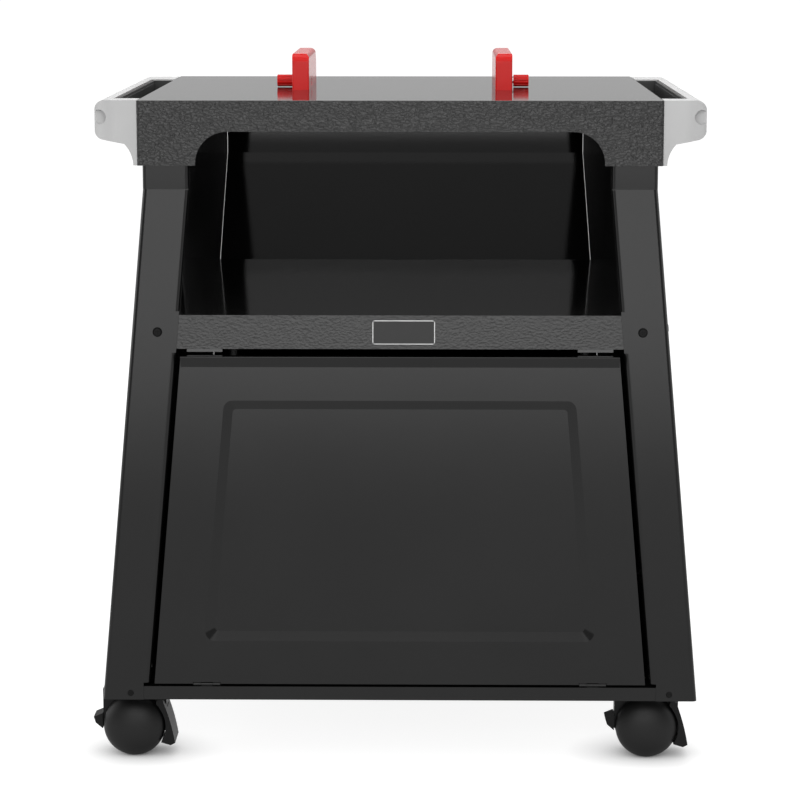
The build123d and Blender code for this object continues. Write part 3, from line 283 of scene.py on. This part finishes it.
def studio_world():
    """White to the camera, and a softer level for the light it gives."""
    world = bpy.data.worlds.new("studio")
    world.use_nodes = True
    bpy.context.scene.world = world
    tree = world.node_tree
    back = tree.nodes["Background"]
    back.inputs["Color"].default_value = (1, 1, 1, 1)
    path = tree.nodes.new("ShaderNodeLightPath")
    direct = arithmetic(tree, "MAXIMUM", path.outputs["Is Camera Ray"], path.outputs["Is Transmission Ray"])
    level = spread(tree, direct, WORLD_LEVEL, 1, 0, 1)
    tree.links.new(level, back.inputs["Strength"])


def area_light(name, width, height, power):
    """Rectangular light that shines downwards until it is turned."""
    light = bpy.data.lights.new(name, "AREA")
    light.shape = "RECTANGLE"
    light.size = width
    light.size_y = height
    light.energy = power
    lamp = bpy.data.objects.new(name, light)
    bpy.context.scene.collection.objects.link(lamp)
    return lamp


def softbox(name, across, along, bottom, power):
    """Upright light on one side, turned to the object's axis."""
    lamp = area_light(name, *SOFTBOX_SIZE, power)
    place = Vector((across, along, 0)) * SOFTBOX_DISTANCE
    lamp.location = place + Vector((0, 0, bottom + SOFTBOX_SIZE[1] / 2))
    lamp.rotation_euler = (-place).to_track_quat("-Z", "Y").to_euler()


def soften_edges(node, width):
    """Round the sharp edges of a moulded or small part a little."""
    weld = node.modifiers.new("weld", "WELD")
    weld.merge_threshold = WELD_DISTANCE
    bevel = node.modifiers.new("edges", "BEVEL")
    bevel.width = width
    bevel.segments = EDGE_STEPS
    bevel.limit_method = "ANGLE"
    bevel.angle_limit = radians(EDGE_ANGLE)
    normals = node.modifiers.new("normals", "WEIGHTED_NORMAL")
    normals.weight = FACE_WEIGHT
    normals.keep_sharp = True


def dress(ends, material, edge=0):
    """Give the CAD nodes with these name endings a finish, and soften their edges if a width is given."""
    for name in nodes:
        if not name.endswith(ends):
            continue
        node = nodes[name]
        node.data.materials.clear()
        node.data.materials.append(material)
        if edge > 0:
            soften_edges(node, edge)


# Finishes
satin_black = grained("satin_black", grey(0.003), grey(0.005), (0.15, 0.20), specular=PAINT_SPECULAR)
gloss_black = grained("gloss_black", grey(0.003), grey(0.005), (0.02, 0.03), specular=0.18)
hammered = hammertone("hammertone_black", DEEP_RELIEF)
hammered_soft = hammertone("soft_hammertone_black", SOFT_RELIEF)
light_grey = grained("light_grey_plastic", grey(0.45), grey(0.49), (0.42, 0.52), grain=1400)
grip = grained("grip_rubber", grey(0.020), grey(0.030), (0.6, 0.75), strength=0.2)
red = grained("red_plastic", (0.55, 0.011, 0.010), (0.61, 0.013, 0.012), (0.17, 0.23), specular=0.12)
pad_rubber = grained("pad_rubber", grey(0.02), grey(0.03), (0.65, 0.8))
catch_grey = grained("catch_plastic", grey(0.06), grey(0.08), (0.4, 0.55))
black_plastic = grained("black_plastic", grey(0.003), grey(0.006), (0.40, 0.48), specular=0.14)
wheel_plastic = grained("wheel_plastic", grey(0.003), grey(0.005), (0.42, 0.50), specular=PAINT_SPECULAR)
badge_black = bordered_plate("badge_enamel", *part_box("badge_plate"))
zinc = brushed("zinc_steel", (0.5, 0.5, 0.51), (0.62, 0.62, 0.63))
dark_steel = grained("dark_steel", grey(0.010), grey(0.022), (0.3, 0.42), metal=0.5)
screw_black = grained("blackened_screw", grey(0.003), grey(0.006), (0.4, 0.5), specular=0.1)

dress(("side_panel", "door_panel", "deck_brace", "bottom_pan", "hinge_base", "hinge_leaf"), satin_black)
dress(("back_panel",), gloss_black)
dress(("table_top",), hammered)
dress(("middle_shelf",), hammered_soft)
dress(("_handle",), light_grey, MOULD_EDGE)
dress(("handle_liner",), grip, FINE_EDGE)
dress(("lock_bracket", "lock_knob"), red, FINE_EDGE)
dress(("lock_pad",), pad_rubber, FINE_EDGE)
dress(("door_catch",), catch_grey, FINE_EDGE)
dress(("badge_plate",), badge_black)
dress(("caster_hood", "caster_pedal"), black_plastic, MOULD_EDGE)
dress(("caster_wheels",), wheel_plastic, MOULD_EDGE)
dress(("caster_mount", "caster_axle", "lock_stud", "caster_rivets"), zinc, FINE_EDGE)
dress(("hinge_pin", "strike_plate"), dark_steel, FINE_EDGE)
dress(("screws",), screw_black, FINE_EDGE)

# Floor
bpy.ops.mesh.primitive_plane_add(size=2 * FLOOR_HALF, location=(0, 0, 0))
floor = bpy.context.object
floor.name = "floor"
floor.data.materials.append(floor_finish())

# Light
studio_world()
softbox("front", 0, -1, SOFTBOX_BOTTOM, FRONT_POWER)
softbox("left", -1, 0, SOFTBOX_BOTTOM, LEFT_POWER)
softbox("right", 1, 0, SOFTBOX_BOTTOM, RIGHT_POWER)
softbox("rear", 0, 1, REAR_BOTTOM, REAR_POWER)
top_light = area_light("top", TOP_SIZE, TOP_SIZE, TOP_POWER)
top_light.location = (0, 0, TOP_HEIGHT)
high_light = area_light("high", *HIGH_SIZE, HIGH_POWER)
high_light.location = HIGH_PLACE
high_light.rotation_euler = (-HIGH_PLACE).to_track_quat("-Z", "Y").to_euler()

# Camera
camera_data = bpy.data.cameras.new("camera")
camera_data.lens = CAMERA_LENS
camera = bpy.data.objects.new("camera", camera_data)
camera.location = CAMERA_PLACE
camera.rotation_euler = (radians(90 - CAMERA_PITCH), 0, radians(CAMERA_YAW))
bpy.context.scene.collection.objects.link(camera)
bpy.context.scene.camera = camera
bpy.context.scene.view_settings.view_transform = "Standard"
